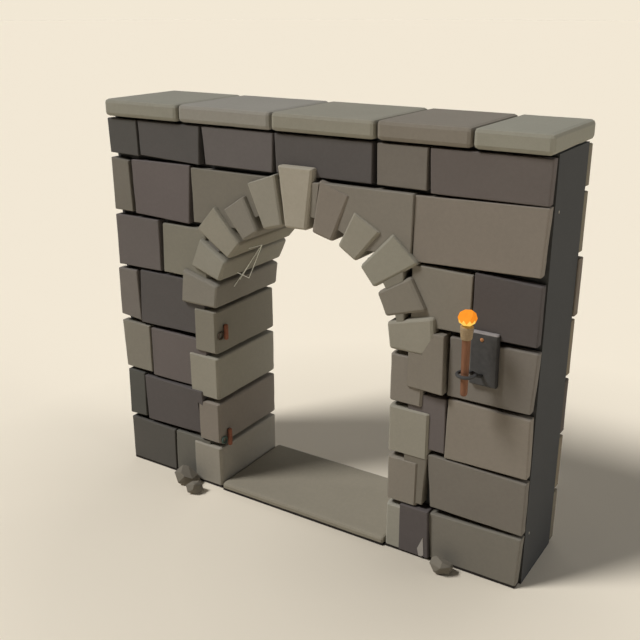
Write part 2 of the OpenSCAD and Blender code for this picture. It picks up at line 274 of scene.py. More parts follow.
def hewn_block(corners, arrises, cell=0.09, uneven=0.0018, chips=0.003, seed=0):
    """A block between eight corners, corners[x][y][z], with uneven faces. For each axis, arrises
    gives how far the arris comes in from the low side and from the high one. Cell is the size of
    its facets, uneven and chips are how deep its waves and the chips out of its arrises go."""
    wave_scale, chip_scale = 3.5, 13
    # a chip starts where the noise is above the first value, and soon reaches its full depth
    chip_from, chip_slope = 0.12, 4

    def along(axis, p, q):
        ends = []
        for end in (0, 1):
            index = [0, 0, 0]
            index[axis], index[(axis + 1) % 3], index[(axis + 2) % 3] = end, p, q
            ends.append(corners[index[0]][index[1]][index[2]])
        return (ends[1] - ends[0]).length

    lengths = [[[along(axis, p, q) for q in (0, 1)] for p in (0, 1)] for axis in range(3)]
    spans = [sum(map(sum, lengths[axis])) / 4 for axis in range(3)]
    lines = [steps(spans[axis], *arrises[axis], cell) for axis in range(3)]
    block = bmesh.new()
    # marks the arrises, which the finish paints paler, as wear and as a painted highlight
    worn_and_highlit = block.verts.layers.float.new("wear_and_highlight")
    grid = {}
    shift = Vector([seed * stride for stride in (3.1, 1.7, 2.3)])
    middle = sum((corners[i][j][k] for i in (0, 1) for j in (0, 1) for k in (0, 1)), Vector()) / 8

    def fraction(axis, place):
        """The share of the side, which keeps the arris as wide where the block tapers."""
        rough = [place[a] / spans[a] for a in range(3)]
        across, up = rough[(axis + 1) % 3], rough[(axis + 2) % 3]
        local = sum(lengths[axis][p][q] * (across if p else 1 - across) * (up if q else 1 - up)
                    for p in (0, 1) for q in (0, 1))
        (low, high), at, span = arrises[axis], place[axis], spans[axis]
        if at <= low:
            return at / local
        if at >= span - high:
            return 1 - (span - at) / local
        return (low + (at - low) / (span - low - high) * (local - low - high)) / local

    def point(index):
        """The corner of the facets at a crossing of the lines, rounded, waved and chipped."""
        if index in grid:
            return grid[index]
        raw = [lines[a][index[a]] for a in range(3)]
        inside = [min(max(raw[a], arrises[a][0]), spans[a] - arrises[a][1]) for a in range(3)]
        reach = [arrises[a][0] if raw[a] < inside[a] else arrises[a][1] for a in range(3)]
        outward = Vector([(raw[a] - inside[a]) / reach[a] for a in range(3)])
        on_edge = sum(abs(c) > 1e-6 for c in outward) > 1
        outward.normalize()
        place = [inside[a] + outward[a] * reach[a] for a in range(3)]
        shares = [fraction(axis, place) for axis in range(3)]
        spot = Vector()
        for i in (0, 1):
            for j in (0, 1):
                for k in (0, 1):
                    weight = 1.0
                    for share, high in zip(shares, (i, j, k)):
                        weight *= share if high else 1 - share
                    spot += corners[i][j][k] * weight
        spot += noise.noise_vector(spot * wave_scale + shift) * uneven
        if on_edge:
            bite = max(0.0, noise.noise(spot * chip_scale + shift) - chip_from) * chips * chip_slope
            spot += (middle - spot).normalized() * min(bite, chips)
        spot = [min(max(spot[a], cad_box[0][a]), cad_box[1][a]) for a in range(3)]
        grid[index] = block.verts.new(spot)
        grid[index][worn_and_highlit] = 1.0 if on_edge else 0.0
        return grid[index]

    ends = [len(line) - 1 for line in lines]
    for axis in range(3):
        a, b = (axis + 1) % 3, (axis + 2) % 3
        for level, outwards in ((0, False), (ends[axis], True)):
            for m in range(ends[a]):
                for n in range(ends[b]):
                    loop = []
                    for dm, dn in ((0, 0), (1, 0), (1, 1), (0, 1)):
                        index = [0, 0, 0]
                        index[axis], index[a], index[b] = level, m + dm, n + dn
                        loop.append(point(tuple(index)))
                    block.faces.new(loop if outwards else loop[::-1])
    return block


def prism(outline, front, back, front_shifts=(0, 0, 0, 0)):
    """Eight corners of a stone, from its four corners in elevation: bottom left, bottom right,
    top right, top left. The shifts bring the front's corners nearer."""
    (bl, br, tr, tl), (s_bl, s_br, s_tr, s_tl) = outline, front_shifts
    return [
        [[Vector((bl[0], front + s_bl, bl[1])), Vector((tl[0], front + s_tl, tl[1]))],
         [Vector((bl[0], back, bl[1])), Vector((tl[0], back, tl[1]))]],
        [[Vector((br[0], front + s_br, br[1])), Vector((tr[0], front + s_tr, tr[1]))],
         [Vector((br[0], back, br[1])), Vector((tr[0], back, tr[1]))]],
    ]


def paint(block, colour):
    """Gives the whole block its own tone."""
    tone = block.verts.layers.float_color.new("tone")
    for vertex in block.verts:
        vertex[tone] = linear(colour)


def crisp_arrises(mesh, angle):
    """Smooth over what is nearly flat, sharp at anything harder than this angle."""
    shape = bmesh.new()
    shape.from_mesh(mesh)
    for face in shape.faces:
        face.smooth = True
    for edge in shape.edges:
        edge.smooth = edge.is_manifold and edge.calc_face_angle(0) < radians(angle)
    shape.to_mesh(mesh)
    shape.free()


def put_up(name, blocks, finish, slot, *nodes, crisp=9):
    """Joins the blocks into one finished piece, in place of the CAD nodes that it stands for.
    Crisp is the angle, in degrees, from which an arris is sharp."""
    whole = bmesh.new()
    for block in blocks:
        part = bpy.data.meshes.new("part")
        block.to_mesh(part)
        block.free()
        whole.from_mesh(part)
        bpy.data.meshes.remove(part)
    piece = placed(name, whole)
    crisp_arrises(piece.data, crisp)
    piece.data.materials.append(finish)
    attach(piece, "root")
    if nodes:
        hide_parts(*nodes)


def on_arch(angle, radius):
    """A point of the elevation, at an angle in degrees from the crown and a distance from the
    arch's centre."""
    return (radius * sin(radians(angle)), springing + radius * cos(radians(angle)))


dressed_finish = stone_finish("dressed_stone")
# how far the arrises come in: from the two sides, from the front and back, and from the inside
# and outside of the ring
ring_arrises = ((0.022, 0.022), (0.030, 0.030), (0.022, 0.009))
# the two lowest stones on the right have a broad arris round the outside too
broad_arrises = ((0.022, 0.022), (0.030, 0.030), (0.022, 0.030))
keystone_arrises = ((0.024, 0.024), (0.036, 0.036), (0.022, 0.014))
# tone, angles of the left and right sides, radius at the inner side and at the outer left and
# right corners, arrises
ring_stones = {
    "left_voussoir_5": ("#837e74", -90.0, -75.6, 0.849, 1.235, 1.240, ring_arrises),
    "left_voussoir_4": ("#908c80", -72.4, -58.4, 0.842, 1.160, 1.165, ring_arrises),
    "left_voussoir_3": ("#8e897c", -56.0, -42.6, 0.838, 1.232, 1.230, ring_arrises),
    "left_voussoir_2": ("#827d73", -39.4, -26.6, 0.839, 1.150, 1.155, ring_arrises),
    "left_voussoir_1": ("#8f8a7e", -22.9, -9.2, 0.837, 1.236, 1.255, ring_arrises),
    "keystone": ("#a0998b", -7.2, 7.2, 0.831, 1.328, 1.330, keystone_arrises),
    "right_voussoir_1": ("#827a70", 9.5, 22.9, 0.829, 1.252, 1.240, ring_arrises),
    "right_voussoir_2": ("#8f8a7d", 26.6, 39.8, 0.833, 1.150, 1.167, ring_arrises),
    "right_voussoir_3": ("#8f8b7e", 43.0, 56.6, 0.836, 1.238, 1.276, ring_arrises),
    "right_voussoir_4": ("#807a6f", 59.2, 72.9, 0.847, 1.172, 1.198, broad_arrises),
    "right_voussoir_5": ("#908b7e", 75.3, 90.1, 0.848, 1.249, 1.235, broad_arrises),
}
# the elevation, front and back of every dressed stone, which the facing is scribed to later
dressed_outlines = {}
for number, (name, stone) in enumerate(ring_stones.items()):
    tone, left, right, inner, outer_left, outer_right, arrises = stone
    outline = [
        on_arch(left, inner), on_arch(right, inner),
        on_arch(right, outer_right), on_arch(left, outer_left),
    ]
    front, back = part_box(name)[0].y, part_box(name)[1].y
    dressed_outlines[name] = (outline, front, back)
    block = hewn_block(prism(outline, front, back), arrises, seed=number + 1)
    paint(block, tone)
    put_up(name, [block], dressed_finish, "dressed_stone", name)


# ---- The mortar of the ring ----
# Dark mortar is packed into the joints between the wedges, well back from the arch and from
# both faces, so that no daylight shows through behind the facing.

mortar_depth, mortar_inner, mortar_outer = 0.33, 1.01, 1.13
mortar_arrises = ((0.004, 0.004),) * 3
# how far, in degrees, the mortar goes into the wedge on either side
mortar_lap = 1
wedge_starts = [stone[1] for stone in ring_stones.values()]
wedge_ends = [stone[2] for stone in ring_stones.values()]
packings = []
for left_wedge, right_wedge in zip(wedge_ends, wedge_starts[1:]):
    left, right = left_wedge - mortar_lap, right_wedge + mortar_lap
    outline = [
        on_arch(left, mortar_inner), on_arch(right, mortar_inner),
        on_arch(right, mortar_outer), on_arch(left, mortar_outer),
    ]
    packing = hewn_block(prism(outline, -mortar_depth, mortar_depth), mortar_arrises, chips=0,
                         seed=len(packings) + 200)
    paint(packing, mortar_tone)
    packings.append(packing)
put_up("ring_mortar", packings, dressed_finish, "core_masonry")


# ---- The jambs ----
# Four stones a side carry the ring, long and short in turn, each through the whole wall. They
# stand a little out from the facing on both faces, and use has worn their arrises.

jamb_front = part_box("left_jamb")[0].y
jamb_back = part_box("left_jamb")[1].y
# how far the face of each jamb is from the middle of the doorway
jamb_faces = {"left": 0.870, "right": 0.846}
jamb_arris, jamb_depth_arris, jamb_bed_arris, ground_arris = 0.022, 0.048, 0.014, 0.005
# the lowest stones stand on a bed of mortar as high as this
bed_height = 0.021
# tone, bottom, top, and how far the stone runs back from the doorway at its bottom and its top
jamb_stones = {
    "left": [
        ("#948e82", bed_height, 0.414, 0.330, 0.326),
        ("#837b71", 0.454, 0.856, 0.252, 0.258),
        ("#918c7f", 0.896, 1.302, 0.330, 0.334),
        ("#817c70", 1.340, 1.742, 0.255, 0.250),
    ],
    "right": [
        ("#959185", bed_height, 0.414, 0.354, 0.350),
        ("#857e73", 0.454, 0.854, 0.274, 0.279),
        ("#928d80", 0.894, 1.300, 0.354, 0.356),
        ("#837c72", 1.338, 1.742, 0.286, 0.304),
    ],
}
for side, turn in (("left", -1), ("right", 1)):
    blocks = []
    for number, (tone, bottom, top, run_bottom, run_top) in enumerate(jamb_stones[side]):
        near = turn * jamb_faces[side]
        outline = [
            (near, bottom), (turn * (jamb_faces[side] + run_bottom), bottom),
            (turn * (jamb_faces[side] + run_top), top), (near, top),
        ]
        if turn < 0:
            outline = [outline[1], outline[0], outline[3], outline[2]]
        dressed_outlines[f"{side}_jamb_{number + 1}"] = (outline, jamb_front, jamb_back)
        bed = jamb_bed_arris if number else ground_arris
        arrises = (
            (jamb_arris, jamb_arris), (jamb_depth_arris, jamb_depth_arris), (bed, jamb_bed_arris),
        )
        block = hewn_block(prism(outline, jamb_front, jamb_back), arrises, seed=20 + number + 10 * turn)
        paint(block, tone)
        blocks.append(block)
    put_up(f"{side}_jamb", blocks, dressed_finish, "dressed_stone", f"{side}_jamb")


# ---- The facing ----
# Squared stones in seven courses on each face of the core, with open joints. Each stone has its
# own tone, and none is quite square. They are scribed to the arch ring and the jambs.

def lofted(rings):
    """A closed block through rings of points, flat at both ends."""
    shape = bmesh.new()
    shape.verts.layers.float.new("wear_and_highlight")
    corners = [[shape.verts.new(spot) for spot in ring] for ring in rings]
    shape.faces.new(corners[0])
    shape.faces.new(corners[-1][::-1])
    for ring, following in zip(corners, corners[1:]):
        for i in range(len(ring)):
            j = (i + 1) % len(ring)
            shape.faces.new((ring[i], following[i], following[j], ring[j]))
    bmesh.ops.recalc_face_normals(shape, faces=shape.faces)
    return shape


def cutter(outline, front, back, shrink=0.012):
    """A prism as deep as a dressed stone, a little smaller, that a facing stone is scribed to."""
    across, up = zip(*outline)
    middle = Vector((sum(across) / len(across), sum(up) / len(up)))
    corners = [Vector(corner) for corner in outline]
    moved = [corner + (middle - corner).normalized() * shrink for corner in corners]
    return placed("cutter", lofted([[(x, y, z) for x, z in moved] for y in (front, back)]))


# the facing stops short of the doorway: along the right jamb a little further in each course up,
# and round the arch a little nearer on the right than on the left
facing_left = -1.01
facing_right = [(0.98, -0.1), (0.98, 0.47), (0.995, 0.47), (0.995, 0.97), (1.01, 0.97), (1.01, 1.79)]
facing_radius, facing_aside = 0.952, -0.02
opening_outline = [(facing_left, 1.79), (facing_left, -0.1), *facing_right]
for angle in range(84, -90, -6):
    x, z = on_arch(angle, facing_radius)
    opening_outline.append((x + facing_aside, z))
# well in front of the wall to well behind it
opening_cutter = cutter(opening_outline, -1.0, 1.0, shrink=0)
ring_cutters = {name: cutter(*shape) for name, shape in dressed_outlines.items()}


def extent(outline, axis):
    """The lowest and highest place of an outline, across the wall (0) or up it (1)."""
    places = [corner[axis] for corner in outline]
    return min(places), max(places)


def meets(outline, stone):
    """Whether two outlines come near each other."""
    for axis in (0, 1):
        (low, high), (stone_low, stone_high) = extent(outline, axis), extent(stone, axis)
        if low >= stone_high or high <= stone_low:
            return False
    return True


def whole_stone(block, stone):
    """The stone itself, once it is sure that the scribing left it closed and within its course."""
    spill = 0.02
    (left, right), (bottom, top) = extent(stone, 0), extent(stone, 1)
    for vertex in block.verts:
        x, _, z = vertex.co
        if not (left - spill < x < right + spill and bottom - spill < z < top + spill):
            raise ValueError("a facing stone was scribed wrongly")
    if not block.faces or any(not edge.is_manifold for edge in block.edges):
        raise ValueError("a facing stone was left open")
    return block


def worked(carrier):
    """The shape of an object as its modifiers leave it, without the object."""
    finished = carrier.evaluated_get(bpy.context.evaluated_depsgraph_get())
    mesh = bpy.data.meshes.new_from_object(finished)
    bpy.data.objects.remove(carrier)
    shape = bmesh.new()
    shape.from_mesh(mesh)
    bpy.data.meshes.remove(mesh)
    return shape


def scribed(block, stone):
    """Cuts a facing stone to the opening and to every dressed stone that it meets."""
    body = placed("facing_stone", block)
    tools = [ring_cutters[name] for name, shape in dressed_outlines.items() if meets(shape[0], stone)]
    if tools:
        tools.append(opening_cutter)
    for tool in tools:
        cut = body.modifiers.new("cut", "BOOLEAN")
        cut.operation = "DIFFERENCE"
        cut.solver = "MANIFOLD"
        cut.object = tool
    return whole_stone(worked(body), stone)


facing_finish = stone_finish("facing_stone")
side_arris, end_arris, face_arris, rear_arris, bed_arris = 0.007, 0.010, 0.010, 0.024, 0.007
# for each front course: tone, then the corners: bottom left, bottom right, top right, top left
front_stones = {
    7: [
        ("#575552", (-2.000, 3.030), (-1.669, 3.022), (-1.678, 3.330), (-2.010, 3.330)),
        ("#595654", (-1.646, 3.035), (-0.997, 3.009), (-0.980, 3.330), (-1.658, 3.330)),
        ("#66615f", (-0.925, 3.021), (-0.252, 3.019), (-0.241, 3.330), (-0.954, 3.330)),
        ("#5a5654", (-0.211, 3.023), (0.645, 3.023), (0.645, 3.330), (-0.229, 3.330)),
        ("#746e66", (0.689, 3.023), (1.091, 3.022), (1.092, 3.330), (0.682, 3.330)),
        ("#665f5b", (1.123, 3.006), (1.988, 3.011), (1.995, 3.330), (1.108, 3.330)),
    ],
    6: [
        ("#757067", (-2.000, 2.519), (-1.784, 2.519), (-1.797, 2.972), (-2.000, 2.990)),
        ("#696260", (-1.749, 2.512), (-1.135, 2.491), (-1.099, 2.996), (-1.761, 2.987)),
        ("#777268", (-1.080, 2.515), (-0.050, 2.515), (-0.050, 2.980), (-1.088, 2.980)),
        ("#817b71", (0.050, 2.515), (0.990, 2.516), (1.004, 2.991), (0.050, 2.992)),
        ("#827a70", (1.000, 2.488), (1.975, 2.515), (1.994, 3.004), (0.998, 2.981)),
    ],
    5: [
        ("#696360", (-2.000, 2.004), (-1.492, 2.013), (-1.489, 2.477), (-2.000, 2.473)),
        ("#807c70", (-1.454, 2.015), (-0.965, 2.015), (-0.960, 2.462), (-1.442, 2.461)),
        ("#77736d", (-0.935, 2.003), (-0.600, 2.003), (-0.600, 2.465), (-0.930, 2.465)),
        ("#7f7a6e", (0.600, 2.004), (0.967, 2.005), (0.945, 2.467), (0.600, 2.467)),
        ("#827c71", (1.003, 2.005), (1.484, 2.005), (1.484, 2.456), (1.000, 2.466)),
        ("#575250", (1.496, 2.005), (1.991, 2.006), (1.994, 2.456), (1.496, 2.480)),
    ],
    4: [
        ("#756f69", (-2.020, 1.513), (-1.774, 1.490), (-1.792, 1.970), (-2.020, 1.966)),
        ("#5a5654", (-1.773, 1.476), (-0.900, 1.489), (-0.900, 1.984), (-1.746, 1.984)),
        ("#7e776c", (0.900, 1.500), (1.321, 1.505), (1.301, 1.971), (0.900, 1.968)),
        ("#767068", (1.330, 1.487), (1.982, 1.489), (2.007, 1.963), (1.330, 1.962)),
    ],
    3: [
        ("#827d72", (-1.999, 0.990), (-1.679, 0.989), (-1.682, 1.449), (-2.019, 1.453)),
        ("#6a6360", (-1.667, 0.966), (-0.900, 0.969), (-0.900, 1.433), (-1.660, 1.439)),
        ("#69625f", (0.900, 0.988), (1.332, 0.989), (1.324, 1.451), (0.900, 1.450)),
        ("#857d72", (1.331, 0.955), (2.000, 0.962), (1.992, 1.446), (1.343, 1.462)),
    ],
    2: [
        ("#585752", (-2.001, 0.492), (-1.795, 0.500), (-1.785, 0.951), (-1.991, 0.958)),
        ("#5c5755", (-1.768, 0.480), (-1.058, 0.493), (-1.057, 0.945), (-1.784, 0.935)),
        ("#767065", (0.899, 0.494), (1.169, 0.488), (1.196, 0.948), (0.899, 0.946)),
        ("#777168", (1.233, 0.489), (2.002, 0.478), (2.000, 0.924), (1.192, 0.945)),
    ],
    1: [
        ("#5a5752", (-1.990, bed_height), (-1.450, bed_height), (-1.441, 0.441), (-1.990, 0.453)),
        ("#6b6860", (-1.432, bed_height), (-0.900, bed_height), (-0.900, 0.446), (-1.426, 0.445)),
        ("#5c5654", (0.980, bed_height), (1.250, bed_height), (1.231, 0.447), (0.980, 0.447)),
        ("#79746a", (1.256, bed_height), (1.982, bed_height), (1.999, 0.444), (1.219, 0.427)),
    ],
}
# how far the face of a stone is out of its course at its bottom left, bottom right, top right
# and top left corner, less than 0 where it swells out; some stones pass over the jamb's edge
swellings = {
    (6, 3): (-0.020, -0.014, -0.020, -0.045),
    (5, 3): (-0.035, -0.035, -0.035, -0.035),
    (4, 2): (-0.030, -0.066, -0.045, -0.018),
    (2, 1): (0.000, 0.010, -0.035, 0.000),
    (2, 2): (-0.012, -0.016, -0.014, -0.012),
    (1, 2): (-0.030, -0.030, -0.030, -0.030),
}
# a flake of paler stone stands on the face of the lowest course, beside the right jamb
flake_outline = [(1.199, 0.203), (1.154, 0.091), (1.167, 0.027), (1.193, 0.025), (1.212, 0.044)]
flake_front, flake_back = 0.033, 0.015


def laid(outline, tone, low, high, course, last, seed, shifts=(0, 0, 0, 0)):
    """A facing stone of a course, hewn, scribed and in its own tone. The last stone of a course
    has a broader arris at the end of the wall."""
    right_arris = end_arris if last else side_arris
    depth_arrises = (face_arris, rear_arris) if low.y < 0 else (rear_arris, face_arris)
    lower_arris = ground_arris if course == 1 else bed_arris
    arrises = ((side_arris, right_arris), depth_arrises, (lower_arris, bed_arris))
    block = hewn_block(prism(outline, low.y, high.y, shifts), arrises, seed=seed)
    block = scribed(block, outline)
    paint(block, tone)
    return block


for course, stones in front_stones.items():
    name = f"front_course_{course}"
    low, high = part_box(name)
    blocks = []
    for number, (tone, *outline) in enumerate(stones):
        last = number == len(stones) - 1
        shifts = swellings.get((course, number), (0, 0, 0, 0))
        seed = 40 + 10 * course + number
        blocks.append(laid(outline, tone, low, high, course, last, seed, shifts))
    if course == 1:
        depths = (low.y - flake_front, low.y - flake_back)
        flake = lofted([[(x, y, z) for x, z in flake_outline] for y in depths])
        paint(flake, "#9f9992")
        blocks.append(flake)
    put_up(name, blocks, facing_finish, "facing_stone", name)


def stones_of(node):
    """Left and right ends of each stone of a CAD course, from the left."""
    course = bmesh.new()
    course.from_mesh(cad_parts[node].data)
    bmesh.ops.remove_doubles(course, verts=course.verts, dist=1e-5)
    left_over, ends = set(course.verts), []
    while left_over:
        reached = [left_over.pop()]
        spans = []
        while reached:
            vertex = reached.pop()
            spans.append(vertex.co.x)
            for edge in vertex.link_edges:
                other = edge.other_vert(vertex)
                if other in left_over:
                    left_over.remove(other)
                    reached.append(other)
        ends.append((min(spans), max(spans)))
    course.free()
    return sorted(ends)


# the back courses have the joints of the CAD ones, and the mason leans them a little
mason = random.Random(7)
most_lean = 0.008
back_tones = ("#5d5650", "#69615d", "#7e7463", "#766d62", "#7b7465")
# how far the last stone of a back course stops short of the CAD one
back_end, back_end_course_5 = 0.018, 0.003
for course in range(1, 8):
    name = f"back_course_{course}"
    low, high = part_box(name)
    spans = stones_of(name)
    blocks = []
    for number, (left, right) in enumerate(spans):
        lean = [mason.uniform(-most_lean, most_lean) for _ in range(4)]
        edges = [left + lean[0], right + lean[1], right + lean[2], left + lean[3]]
        # the stones near the doorway are left upright
        if left > 0.5 * low.x and right < 0.5 * high.x:
            edges = [left, right, right, left]
        end = high.x - (back_end_course_5 if course == 5 else back_end)
        edges = [min(max(x, low.x), end) for x in edges]
        foot = low.z + (bed_height if course == 1 else 0)
        outline = [(edges[0], foot), (edges[1], foot), (edges[2], high.z), (edges[3], high.z)]
        tone = mason.choice(back_tones)
        last = number == len(spans) - 1
        blocks.append(laid(outline, tone, low, high, course, last, seed=140 + 10 * course + number))
    put_up(name, blocks, facing_finish, "facing_stone", name)

for tool in [opening_cutter, *ring_cutters.values()]:
    bpy.data.objects.remove(tool)


# ---- The threshold ----
# One slab through the wall between the jambs, a little proud of the ground, with a broad chamfer
# that feet have worn smooth.

low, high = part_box("threshold")
# a small gap beside the right jamb, and how high in its bed the slab starts
threshold_gap, threshold_foot = 0.004, 0.018
right_end = jamb_faces["right"] - threshold_gap
outline = [(low.x, threshold_foot), (right_end, threshold_foot), (right_end, high.z), (low.x, high.z)]
threshold_arrises = ((0.020, 0.020), (0.035, 0.035), (0.008, 0.022))
block = hewn_block(prism(outline, low.y, high.y), threshold_arrises, cell=0.12, seed=31)
paint(block, "#8b8475")
put_up("threshold", [block], stone_finish("threshold_stone"), "threshold_stone", "threshold")


# ---- The mortar bed ----
# The lowest stones and the threshold are bedded on mortar, which lies a little back from their
# faces. It is painted much darker than the mortar of the core, as painted shade, and draws a
# dark line along the ground like a shadow.

# a little above the foot of the stones, so that no gap is left
bed_top = bed_height + 0.004
bed_arrises = ((0.003, 0.003),) * 3
# under the facing on the left and right, the two jambs and the threshold: x from, x to, and how
# far the bed goes to the front and to the back
beds = [
    (-1.987, -0.930, 0.418), (1.000, 1.979, 0.418),
    (-1.190, -0.874, 0.437), (0.850, 1.190, 0.437),
    (-0.850, 0.838, 0.457),
]
blocks = []
for left, right, depth in beds:
    outline = [(left, 0), (right, 0), (right, bed_top), (left, bed_top)]
    block = hewn_block(prism(outline, -depth, depth), bed_arrises, cell=0.3, uneven=0, chips=0)
    # painted shade: the bed is much darker than the core's mortar, for the shadow at the wall's foot
    paint(block, "#2e2a27")
    blocks.append(block)
put_up("mortar_bed", blocks, dressed_finish, "core_masonry")


# ---- The coping ----
# Five slabs laid across the top of the wall, with open joints. Their arrises are taken off
# broadly to shed the rain, and some are a few millimetres short at the front or the back.

coping_finish = stone_finish("coping_stone")
coping_arrises = ((0.031, 0.031),) * 3
# tone, and how much each slab is short at the front, or at the back where it is negative
coping_slabs = [
    ("#8e8b7f", 0.0), ("#8f8b82", 0.006), ("#8d897c", -0.004), ("#817a6f", 0.008), ("#8f8c7f", 0.0),
]
for number, (tone, short) in enumerate(coping_slabs, start=1):
    name = f"coping_{number}"
    low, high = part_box(name)
    outline = [(low.x, low.z), (high.x, low.z), (high.x, high.z), (low.x, high.z)]
    slab = prism(outline, low.y + max(short, 0), high.y + min(short, 0))
    block = hewn_block(slab, coping_arrises, cell=0.12, seed=60 + number)
    paint(block, tone)
    put_up(name, [block], coping_finish, "coping_stone", name)


# ---- Flecks on the right end ----
# Two small splashes of pale mortar were left on the plain end, one near its top and one near
# its foot. They are drops that dried as thin as a coin, with a smaller face than foot.

core_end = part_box("right_pier_core")[1].x
fleck_sites = [(-0.240, 2.947), (-0.2425, 0.416)]
fleck_corners, fleck_wide, fleck_tall, fleck_thick = 7, 0.0075, 0.015, 0.003
# how uneven the rim is, and how large the face is next to the foot
fleck_uneven, fleck_face = 0.2, 0.7
blocks = []
for y, z in fleck_sites:
    rim = []
    for i in range(fleck_corners):
        a = 2 * pi * i / fleck_corners
        rim.append((fleck_wide * cos(a) * (1 + fleck_uneven * sin(3 * a)), fleck_tall * sin(a)))
    face = [(core_end + fleck_thick, y + across * fleck_face, z + up * fleck_face) for across, up in rim]
    foot = [(core_end - fleck_thick, y + across, z + up) for across, up in rim]
    fleck = lofted([face, foot])
    paint(fleck, "#a8a193")
    blocks.append(fleck)
put_up("mortar_flecks", blocks, facing_finish, "core_masonry")


# ---- The torch ----
# A forged plate and ring on the right pier hold a turned wooden shaft, leaning a little out at
# its head. Tan cloth is wound round the head, and the fire is a faceted ball of glowing orange.

def plain_finish(name, roughness, scale, mottle, depth, stretch=(1, 1, 1)):
    """Iron, wood or cloth: the tone of each part with its own grain, and a relief like it. Mottle
    is how much the tone varies, depth how deep the relief is, and stretch draws the grain out."""
    finish, tree, shader = blank_finish(name, roughness, 0.2)
    place = add(tree, "ShaderNodeMapping", Scale=stretch)
    tree.links.new(add(tree, "ShaderNodeTexCoord").outputs["Object"], place.inputs["Vector"])
    own = add(tree, "ShaderNodeAttribute", attribute_name="tone").outputs["Color"]
    grain = speckle(tree, place.outputs["Vector"], scale, 5, 1 - mottle, 1 + mottle)
    tree.links.new(times(tree, own, grain), shader.inputs["Base Color"])
    bump = relief(tree, speckle(tree, place.outputs["Vector"], scale * 2, 4, 0, 1), 0.5, depth)
    tree.links.new(bump.outputs["Normal"], shader.inputs["Normal"])
    return finish


iron_finish = plain_finish("wrought_iron", 0.7, 30, 0.12, 0.0008)
wood_finish = plain_finish("torch_wood", 0.8, 40, 0.15, 0.0008, stretch=(1, 1, 0.12))
cloth_finish = plain_finish("torch_cloth", 0.95, 90, 0.1, 0.0008, stretch=(1, 1, 3))


def paint_facets(block, tone_of):
    """Gives each facet its own tone, by the way that it faces."""
    block.normal_update()
    tone = block.loops.layers.float_color.new("tone")
    for face in block.faces:
        for corner in face.loops:
            corner[tone] = linear(tone_of(face.normal))


def about(foot, axis, along, radius, turn):
    """A point beside an axis: so far along it from its foot, so far out, and turned so many
    rounds about it."""
    across = axis.orthogonal().normalized()
    angle = 2 * pi * turn
    return foot + axis * along + (across * cos(angle) + axis.cross(across) * sin(angle)) * radius


def round_path(middle, radius, count, first_way, second_way):
    """Points round a circle, in the plane of two ways that are square to each other."""
    angles = [2 * pi * i / count for i in range(count)]
    return [middle + (first_way * cos(a) + second_way * sin(a)) * radius for a in angles]


def turned(foot, head, profile, sides):
    """A solid of revolution between two points: profile gives its distance along them and its
    radius there, from the foot up."""
    axis = (head - foot).normalized()
    return lofted([[about(foot, axis, along, radius, i / sides) for i in range(sides)]
                   for along, radius in profile])


# the tree that draws a bar of one thickness along a path
bar_tree = bpy.data.node_groups.new("round_bar", "GeometryNodeTree")
bar_inputs = {"Path": "Geometry", "Radius": "Float", "Sides": "Int", "Material": "Material"}
for name, kind in bar_inputs.items():
    bar_tree.interface.new_socket(name, in_out="INPUT", socket_type=f"NodeSocket{kind}")
bar_tree.interface.new_socket("Bar", in_out="OUTPUT", socket_type="NodeSocketGeometry")
given = add(bar_tree, "NodeGroupInput").outputs
path = add(bar_tree, "GeometryNodeMeshToCurve")
section = add(bar_tree, "GeometryNodeCurvePrimitiveCircle")
drawn = add(bar_tree, "GeometryNodeCurveToMesh")
drawn.inputs["Fill Caps"].default_value = True
whole_bar = add(bar_tree, "GeometryNodeRealizeInstances")
bar_finish = add(bar_tree, "GeometryNodeSetMaterial")
result = add(bar_tree, "NodeGroupOutput")
for source, target in (
    (given["Path"], path.inputs["Mesh"]), (path.outputs["Curve"], drawn.inputs["Curve"]),
    (given["Radius"], section.inputs["Radius"]), (given["Sides"], section.inputs["Resolution"]),
    (section.outputs["Curve"], drawn.inputs["Profile Curve"]),
    (drawn.outputs["Mesh"], whole_bar.inputs["Geometry"]),
    (whole_bar.outputs["Geometry"], bar_finish.inputs["Geometry"]),
    (given["Material"], bar_finish.inputs["Material"]),
    (bar_finish.outputs["Geometry"], result.inputs["Bar"]),
):
    bar_tree.links.new(source, target)


def round_bar(points, radius, finish, sides=8, closed=False):
    """A bar of one thickness along the points, as a block that can be joined with others."""
    mesh = bpy.data.meshes.new("path")
    count = len(points)
    links = [(i, (i + 1) % count) for i in range(count if closed else count - 1)]
    mesh.from_pydata([tuple(p) for p in points], links, [])
    carrier = bpy.data.objects.new("path", mesh)
    bpy.context.scene.collection.objects.link(carrier)
    draw = carrier.modifiers.new("round_bar", "NODES")
    draw.node_group = bar_tree
    settings = {"Radius": radius, "Sides": sides, "Material": finish}
    for item in bar_tree.interface.items_tree:
        if item.in_out == "INPUT" and item.name in settings:
            draw[item.identifier] = settings[item.name]
    bar = worked(carrier)
    bmesh.ops.remove_doubles(bar, verts=bar.verts, dist=1e-6)
    bmesh.ops.recalc_face_normals(bar, faces=bar.faces)
    bar.verts.layers.float.new("wear_and_highlight")
    return bar


shaft_foot, shaft_head = Vector((1.556, -0.640, 1.630)), Vector((1.564, -0.672, 2.170))
shaft_length = (shaft_head - shaft_foot).length
lean = (shaft_head - shaft_foot).normalized()

facing_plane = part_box("front_course_4")[0].y
plate_thick, plate_sunk = 0.04, 0.004
plate_front = facing_plane - plate_thick
outline = [(1.513, 1.648), (1.728, 1.645), (1.720, 2.062), (1.508, 2.062)]
plate_arrises = ((0.012, 0.012), (0.016, 0.010), (0.012, 0.013))
plate = hewn_block(prism(outline, plate_front, facing_plane + plate_sunk), plate_arrises, cell=0.05,
                   uneven=0.0006, chips=0, seed=80)
